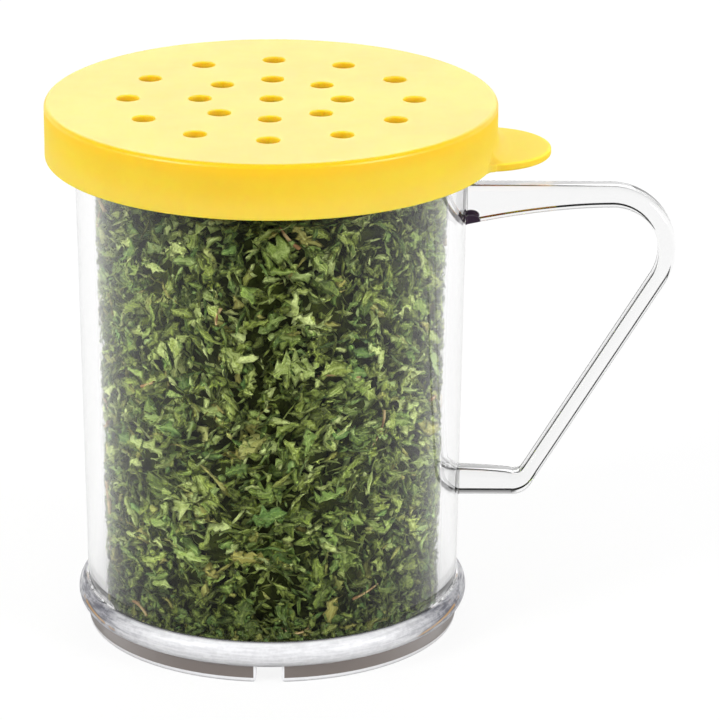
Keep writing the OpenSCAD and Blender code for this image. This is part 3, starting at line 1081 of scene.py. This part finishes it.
def grow_flakes(name, kind, skin, herb, rng):
    """One object of many closed flakes laid on the heap, with the values that their colours read."""
    rows, columns, total = kind.rows, kind.columns, kind.total
    shape, normal = flake_shapes(rng, kind)
    shares = even_spread(total, rng)
    shares[:, 0] = kind.lowest + (kind.highest - kind.lowest) * shares[:, 0]
    start = skin.spread(shares[:, 0])[:, None, None]
    turn_to = (math.tau * shares[:, 1])[:, None, None]
    heading = flow_angle(start, turn_to) + rng.normal(0, kind.stray, (total, 1, 1))
    layer = kind.deepest * rng.beta(1.0, 2.0, (total, 1, 1))

    def laid(points):
        sideways, upward = rotated(points[..., 0], points[..., 1], heading)
        return skin.lay(start, turn_to, sideways, upward, points[..., 2])

    shape[..., 2] += layer - shape[..., 2].min(axis=(1, 2), keepdims=True)
    swell = np.zeros((rows, columns, 1))
    swell[1:-1, 1:-1] = herb.thickness / 2
    points = two_sided(laid(shape + normal * swell), laid(shape - normal * swell))
    quads = flake_quads(rows, columns)
    mesh = flake_mesh(name, points, quads)

    grid = np.stack(np.meshgrid(np.linspace(0, 1, rows), np.linspace(0, 1, columns), indexing="ij"), -1)
    leaf = two_sided(grid[None], grid[None])[0]
    corners = np.tile(leaf[quads.reshape(-1)], (total, 1))
    mesh.uv_layers.new(name="leaf").data.foreach_set("uv", corners.reshape(-1))

    height = np.interp(start.reshape(-1), skin.along, skin.height) - skin.height.min()
    # Painted shade: tone falls towards the jar's floor.
    lit = herb.floor_shade + (1 - herb.floor_shade) * np.clip(height / herb.shade_height, 0, 1)
    values = {
        "tone": rng.beta(kind.tone_a, kind.tone_b, total) * lit,
        "yellowing": rng.beta(0.35, 2.6, total),
        "cooling": rng.beta(0.5, 1.6, total),
    }
    for label, value in values.items():
        attribute = mesh.attributes.new(label, "FLOAT", "POINT")
        attribute.data.foreach_set("value", np.repeat(value, points.shape[1]).astype(np.float32))
    mesh.update(calc_edges=True)
    mesh.validate()
    mesh.shade_smooth()
    return add_object(name, mesh)


def dried_leaf(herb):
    """Dried leaf: green to olive by flake, with paler veins and edges, and a wrinkled face."""
    if "dried_leaf" in bpy.data.materials:
        return bpy.data.materials["dried_leaf"]
    material, nodes = new_material("dried_leaf")
    tone = nodes.attribute("tone")
    yellowing = nodes.attribute("yellowing")
    cooling = nodes.attribute("cooling")
    leaf = nodes.node("ShaderNodeUVMap", {"uv_map": "leaf"})["UV"]
    along, across, _ = nodes.axes(leaf)
    place = nodes.place()
    patch = nodes.noise(place, 600, 4, 0.6)
    grain = nodes.noise(place, 2400, 3, 0.6).step(0.35, 0.65)
    drawn_out = {"X": across * 6 + tone * 71, "Y": along * 2}
    lined = nodes.node("ShaderNodeCombineXYZ", sockets=drawn_out)["Vector"]
    fibres = nodes.noise(lined, 1, 2, 0.6).step(0.36, 0.64)
    off_middle = abs(across - 0.5)
    vein = 1 - off_middle.step(0.03, 0.09)
    edge = off_middle.step(0.34, 0.5)
    pale = (0.3 * vein + 0.25 * edge) * (0.3 + 0.9 * patch) * (0.3 + 1.3 * tone).smaller(1)

    shade = (tone + 0.5 * (patch - 0.5) + 0.2 * (grain - 0.5) + 0.25 * (fibres - 0.5)).larger(0)
    greens = nodes.node("ShaderNodeValToRGB", {
        "stops": [(0.05, herb.dark_tint), (0.45, herb.middle_tint), (1.0, herb.light_tint)],
    }, {"Fac": shade})["Color"]
    cooled = nodes.blend(0.75 * cooling, greens, rgba(herb.cool_tint))
    dried = nodes.blend((yellowing * 1.3).step(0.35, 0.95), cooled, rgba(herb.olive_tint))
    colour = nodes.blend(pale, dried, rgba(herb.light_tint))
    nodes.surface(nodes.principled({
        "Base Color": colour,
        "Roughness": 0.4 + 0.2 * grain,
        "IOR": 1.4,
        "Normal": nodes.bump(0.5 * grain + 0.5 * vein + fibres + patch, 0.12 * MM),
    }))
    return material


def dry_stem(herb):
    """Dry stem: straw to brown in patches, with a fine grain."""
    material, nodes = new_material("dry_stem")
    place = nodes.place()
    patch = nodes.noise(place, 500, 3)
    grain = nodes.noise(place, 3000, 3)
    brown = rgba(herb.stem_tint, (0.45, 0.32, 0.25))
    colour = nodes.blend(patch.step(0.4, 0.6), rgba(herb.stem_tint), brown)
    nodes.surface(nodes.principled({
        "Base Color": colour,
        "Roughness": 0.5 + 0.3 * grain,
        "IOR": 1.4,
        "Normal": nodes.bump(grain, 0.1 * MM, 0.6),
    }))
    return material


def herb_shade(herb):
    """The heap that shows between the flakes, painted dim as the shade deep among them."""
    material, nodes = new_material("herb_shade")
    place = nodes.place()
    patch = nodes.noise(place, 450, 5, 0.7)
    colour = nodes.blend(patch.step(0.35, 0.7), rgba(herb.core_shade_tint), rgba(herb.dark_tint))
    nodes.surface(nodes.principled({
        "Base Color": colour,
        "Roughness": 0.7 + 0.2 * patch,
        "Specular IOR Level": 0.2,
        "Normal": nodes.bump(patch, 0.6 * MM),
    }))
    return material


class DREDGER_OT_herb_core(bpy.types.Operator):
    """Add the dim middle of the herb heap"""

    bl_idname = "dredger.herb_core"
    bl_label = "Herb core"

    sides: count("Sides", "Number of sides round the core", 160)
    rough: size("Rough", "How far the core's points are shaken", 0.35)

    def execute(self, context):
        jar = context.scene.dredger_jar
        herb = context.scene.dredger_herb
        rng = np.random.default_rng(herb.seed)
        line = herb_skin(jar, herb)
        line[0, 0] = 0
        skin = Skin(line, 90)
        low = skin.height.min()
        full_depth_from = 3 * MM
        full_shake_from = 6 * MM
        depth = herb.core_depth * np.clip((skin.height - low) / full_depth_from, 0.03, 1)
        section = np.stack([skin.radius + skin.in_r * depth, skin.height + skin.in_z * depth], 1)
        section = section[section[:, 0] > 1 * MM]
        outline = [(0, section[0, 1]), *section.tolist(), (0, section[-1, 1])]
        piece = turned("herb_core", outline, self.sides)
        points = np.empty(len(piece.data.vertices) * 3, np.float32)
        piece.data.vertices.foreach_get("co", points)
        points = points.reshape(-1, 3)
        shake = self.rough * np.clip((points[:, 2:] - low) / full_shake_from, 0.15, 1)
        points = points + rng.uniform(-1, 1, points.shape) * shake
        piece.data.vertices.foreach_set("co", points.reshape(-1).astype(np.float32))
        piece.data.update()
        piece.data.shade_smooth()
        dress(piece, herb_shade(herb), "jar", "dried_herb", "herb_fill")
        return {"FINISHED"}


class DREDGER_OT_flakes(bpy.types.Operator):
    """Add one kind of dried leaf flake, laid all over the heap"""

    bl_idname = "dredger.flakes"
    bl_label = "Herb flakes"

    piece_name: StringProperty(name="Name", description="Name of the piece", default="herb_flakes")
    offset: count("Draw", "Which stream of random draws the kind uses", 1)
    total: count("Total", "Number of flakes", 3200)
    rows: count("Rows", "Points along a flake", 6)
    columns: count("Columns", "Points across a flake", 3)
    shortest: size("Shortest", "Length of the shortest flake", 2)
    longest: size("Longest", "Length of the longest flake", 8)
    slim: number("Slim", "Width of the slimmest flake as a share of its length", 0.3)
    broad: number("Broad", "Width of the broadest flake as a share of its length", 0.6)
    jag: number("Jag", "How ragged the outline is", 0.45)
    lobes: number("Lobes", "How deep the outline's lobes are", 0.15)
    curl: number("Curl", "How far flakes curl across, in radians", 0.7)
    bend: number("Bend", "How far flakes bend along their length, in radians", 0.6)
    twist: number("Twist", "How far flakes twist, in radians", 0.6)
    crumple: number("Crumple", "How far a flake's face is crumpled, as a share of its length", 0.035)
    tilt: number("Tilt", "How far flakes tilt out of the heap's surface, in radians", 0.6)
    stray: number("Stray", "How far flakes stray from the common flow, in radians", 0.7)
    lowest: number("Lowest", "Where the kind starts, as a share of the heap's surface from below", 0.0)
    highest: number("Highest", "Where the kind ends, as a share of the heap's surface from below", 1.0)
    deepest: size("Deepest", "Depth of the deepest flake", 2.4)
    tone_a: number("Tone rise", "First shape number of the spread of tones", 1.2)
    tone_b: number("Tone fall", "Second shape number of the spread of tones", 1.9)

    def execute(self, context):
        herb = context.scene.dredger_herb
        rng = np.random.default_rng(herb.seed + self.offset)
        skin = Skin(herb_skin(context.scene.dredger_jar, herb))
        piece = grow_flakes(self.piece_name, self, skin, herb, rng)
        dress(piece, dried_leaf(herb), "jar", "dried_herb", "herb_fill")
        return {"FINISHED"}


class DREDGER_OT_stems(bpy.types.Operator):
    """Add the few dry stems among the flakes"""

    bl_idname = "dredger.stems"
    bl_label = "Herb stems"

    offset: count("Draw", "Which stream of random draws the stems use", 90)
    total: count("Total", "Number of stems", 46)
    shortest: size("Shortest", "Length of the shortest stem", 2.5)
    longest: size("Longest", "Length of the longest stem", 9)
    radius: size("Radius", "Radius of a stem", 0.33)

    def execute(self, context):
        herb = context.scene.dredger_herb
        rng = np.random.default_rng(herb.seed + self.offset)
        skin = Skin(herb_skin(context.scene.dredger_jar, herb))
        sides = 7
        rows = 7
        from_middle = np.linspace(-0.5, 0.5, rows)[:, None]
        around = (math.tau * np.arange(sides) / sides)[None, :]
        shape = bmesh.new()
        for share, turn_share in even_spread(self.total, rng):
            length = self.shortest + (self.longest - self.shortest) * rng.beta(1.3, 3)
            thick = self.radius * rng.uniform(0.6, 1.2) * (1 - 0.4 * (from_middle + 0.5))
            bow = rng.normal(0, 0.12) * length * (4 * from_middle ** 2 - 0.5)
            along = length * from_middle + 0 * around
            across = bow + thick * np.cos(around)
            depth = thick * np.sin(around) + rng.normal(0, 0.15) * length * from_middle
            depth += rng.uniform(0, 0.5 * MM) - depth.min()
            sideways, upward = rotated(along, across, rng.uniform(0, math.tau))
            start = np.full_like(along, skin.spread(share))
            points = skin.lay(start, math.tau * turn_share, sideways, upward, depth)
            closed_tube(shape, [[shape.verts.new(point) for point in ring] for ring in points])
        piece = new_piece("herb_stems", shape)
        smooth(piece, 60)
        dress(piece, dry_stem(herb), "jar", "dried_herb", "herb_fill")
        return {"FINISHED"}


# The stage

def mirrored_dark(nodes, stage, path, vector):
    """How far a mirrored ray is dimmed: the room is dark in front of the object and white behind it."""
    x, y, _ = nodes.axes(vector)
    toward_viewer = (0 - y) / ((x * x + y * y) ** 0.5).larger(1e-6)
    fall = (stage.dark_level - stage.side_level) * toward_viewer
    bright = (stage.side_level + fall).larger(stage.dark_level)
    mirrored = path["Glossy Depth"].smaller(1) * (1 - path["Diffuse Depth"].smaller(1))
    return mirrored * (1 - bright.smaller(1))


def white_floor(stage):
    """A pale floor that is seen as white and keeps the object's shadow."""
    material, nodes = new_material("white_floor")
    path = nodes.node("ShaderNodeLightPath")
    seen = path["Is Camera Ray"].larger(path["Is Glossy Ray"]).larger(path["Is Transmission Ray"])
    paint = nodes.blend(seen, rgba(stage.floor_bounce), rgba(stage.floor_tint))
    matte = nodes.node("ShaderNodeBsdfDiffuse", sockets={"Color": paint})
    plain = nodes.node("ShaderNodeEmission", sockets={"Color": (1, 1, 1, 1), "Strength": 1.0})
    black = nodes.node("ShaderNodeBsdfDiffuse", sockets={"Color": (0, 0, 0, 1)})
    bright = nodes.mix(seen * stage.floor_glow, matte["BSDF"], plain["Emission"])
    dark = mirrored_dark(nodes, stage, path, nodes.place())
    nodes.surface(nodes.mix(dark, bright, black["BSDF"]))
    return material


def white_room(stage):
    """A white room, whose upper part is dark where clear and glossy surfaces show it."""
    world = bpy.data.worlds.new("white_room")
    world.use_nodes = True
    world.cycles.sampling_method = "NONE"
    nodes = Nodes(world.node_tree)
    path = nodes.node("ShaderNodeLightPath")
    direction = nodes.node("ShaderNodeTexCoord")["Generated"]
    _, _, up = nodes.axes(direction)
    edge = math.sin(stage.backdrop_top)
    blur = 0.03
    backdrop = (1 - up.step(edge - blur, edge + blur)) * (1 - mirrored_dark(nodes, stage, path, direction))
    seen = path["Is Camera Ray"].larger(backdrop).larger(stage.dark_level)
    dome = stage.dome_low + (stage.dome_high - stage.dome_low) * up.step(0, 0.9)
    after_matte = path["Diffuse Depth"].smaller(1)
    strength = seen + (dome - seen) * after_matte
    background = nodes.node("ShaderNodeBackground", sockets={"Color": (1, 1, 1, 1), "Strength": strength})
    nodes.node("ShaderNodeOutputWorld", sockets={"Surface": background["Background"]})
    return world


def add_softbox(name, place, aim, width, height, power, spread=180, in_gloss=True):
    """A soft area lamp, turned to an aim, whose light spreads through an angle and may show in gloss."""
    lamp = bpy.data.lights.new(name, "AREA")
    lamp.shape = "RECTANGLE"
    lamp.size = width
    lamp.size_y = height
    lamp.energy = power
    lamp.spread = math.radians(spread)
    holder = add_object(name, lamp)
    holder.location = place
    holder.rotation_euler = (Vector(aim) - Vector(place)).to_track_quat("-Z", "Y").to_euler()
    holder.visible_camera = False
    holder.visible_transmission = False
    holder.visible_glossy = in_gloss


def add_camera(stage):
    """The camera at the photograph's viewing angle."""
    lens = bpy.data.cameras.new("camera")
    lens.sensor_width = 36
    lens.lens = stage.lens
    camera = add_object("camera", lens)
    ahead = Vector((0, math.cos(stage.elevation), -math.sin(stage.elevation)))
    level_up = Vector((0, math.sin(stage.elevation), math.cos(stage.elevation)))
    level_right = Vector((1, 0, 0))
    right = level_right * math.cos(stage.roll) + level_up * math.sin(stage.roll)
    up = level_up * math.cos(stage.roll) - level_right * math.sin(stage.roll)
    axes = Matrix((right, up, -ahead)).transposed().to_4x4()
    camera.matrix_world = Matrix.Translation(Vector(stage.aim) - ahead * stage.distance) @ axes
    bpy.context.scene.camera = camera


class DREDGER_OT_stage(bpy.types.Operator):
    """Add the white floor, the room's light and the camera"""

    bl_idname = "dredger.stage"
    bl_label = "Stage"

    def execute(self, context):
        stage = context.scene.dredger_stage
        shape = bmesh.new()
        bmesh.ops.create_grid(shape, x_segments=1, y_segments=1, size=stage.floor_size / 2)
        floor = new_piece("floor", shape)
        floor.data.materials.append(white_floor(stage))
        context.scene.world = white_room(stage)
        add_softbox("back_softbox", (0.05, 0.9, 0.55), (0, 0, 0.08), width=1.2, height=0.6, power=4.4)
        add_softbox("key_softbox", (-0.84, -0.62, 0.6), (0, 0, 0.06), width=0.35, height=0.35, power=8.0)
        add_softbox("fill_softbox", (0.9, -0.58, 0.4), (0, 0, 0.05), width=0.35, height=0.35, power=7.0)
        herb_middle = Vector((0, 0, 0.049))
        for name, side, power in (("left_strip", -0.35, 0.15), ("right_strip", 0.35, 0.06)):
            place = herb_middle + Vector((side, 0, 0))
            add_softbox(name, place, herb_middle, 0.3, 0.06, power, spread=4, in_gloss=False)
        add_camera(stage)
        context.scene.view_settings.view_transform = "Standard"
        return {"FINISHED"}


# The panel and the run

class DREDGER_PT_pieces(bpy.types.Panel):
    """The dredger's pieces, in the order in which they are added"""

    bl_label = "Shaker dredger"
    bl_idname = "DREDGER_PT_pieces"
    bl_space_type = "VIEW_3D"
    bl_region_type = "UI"
    bl_category = "Dredger"

    def draw(self, context):
        for operator in OPERATORS:
            self.layout.operator(operator.bl_idname)


SETTINGS = {
    "dredger_jar": DredgerJar,
    "dredger_handle": DredgerHandle,
    "dredger_lid": DredgerLid,
    "dredger_herb": DredgerHerb,
    "dredger_stage": DredgerStage,
}
OPERATORS = (
    DREDGER_OT_jar,
    DREDGER_OT_lid,
    DREDGER_OT_herb_core,
    DREDGER_OT_flakes,
    DREDGER_OT_stems,
    DREDGER_OT_stage,
)

FLAKE_KINDS = (
    {"piece_name": "herb_flakes"},
    {
        "piece_name": "herb_strips", "offset": 2, "total": 3000,
        "shortest": 3 * MM, "longest": 9 * MM, "slim": 0.06, "broad": 0.18, "lobes": 0.1,
        "curl": 1.3, "bend": 0.9, "twist": 1.0, "deepest": 2.0 * MM,
    },
    {
        "piece_name": "herb_leaves", "offset": 3, "total": 950, "rows": 10, "columns": 5,
        "shortest": 4.5 * MM, "longest": 11 * MM, "slim": 0.35, "broad": 0.7, "lobes": 0.38,
        "curl": 0.8, "twist": 0.5, "tilt": 0.42, "deepest": 1.0 * MM,
    },
    {
        "piece_name": "herb_crumbs", "offset": 4, "total": 2400, "rows": 4,
        "shortest": 0.9 * MM, "longest": 3 * MM, "slim": 0.4, "broad": 0.9,
        "curl": 0.6, "bend": 0.5, "tilt": 0.5, "stray": 1.5, "deepest": 1.6 * MM,
    },
    {
        "piece_name": "herb_settled", "offset": 5, "total": 620,
        "shortest": 1.5 * MM, "longest": 5 * MM, "slim": 0.4, "broad": 0.8,
        "curl": 0.5, "bend": 0.4, "tilt": 0.25, "stray": 1.5, "deepest": 0.6 * MM,
        "lowest": 0.06, "highest": 0.12,
    },
)


def register():
    """Register the settings, the operators and the panel."""
    for group in SETTINGS.values():
        bpy.utils.register_class(group)
    for name, group in SETTINGS.items():
        setattr(bpy.types.Scene, name, PointerProperty(type=group))
    for operator in OPERATORS:
        bpy.utils.register_class(operator)
    bpy.utils.register_class(DREDGER_PT_pieces)


def unregister():
    """Take back what register added."""
    bpy.utils.unregister_class(DREDGER_PT_pieces)
    for operator in reversed(OPERATORS):
        bpy.utils.unregister_class(operator)
    for name in SETTINGS:
        delattr(bpy.types.Scene, name)
    for group in reversed(SETTINGS.values()):
        bpy.utils.unregister_class(group)


def main():
    """Add every piece and the stage."""
    register()
    bpy.ops.dredger.jar()
    bpy.ops.dredger.lid()
    bpy.ops.dredger.herb_core()
    for kind in FLAKE_KINDS:
        bpy.ops.dredger.flakes(**kind)
    bpy.ops.dredger.stems()
    bpy.ops.dredger.stage()


if __name__ == "__main__":
    main()
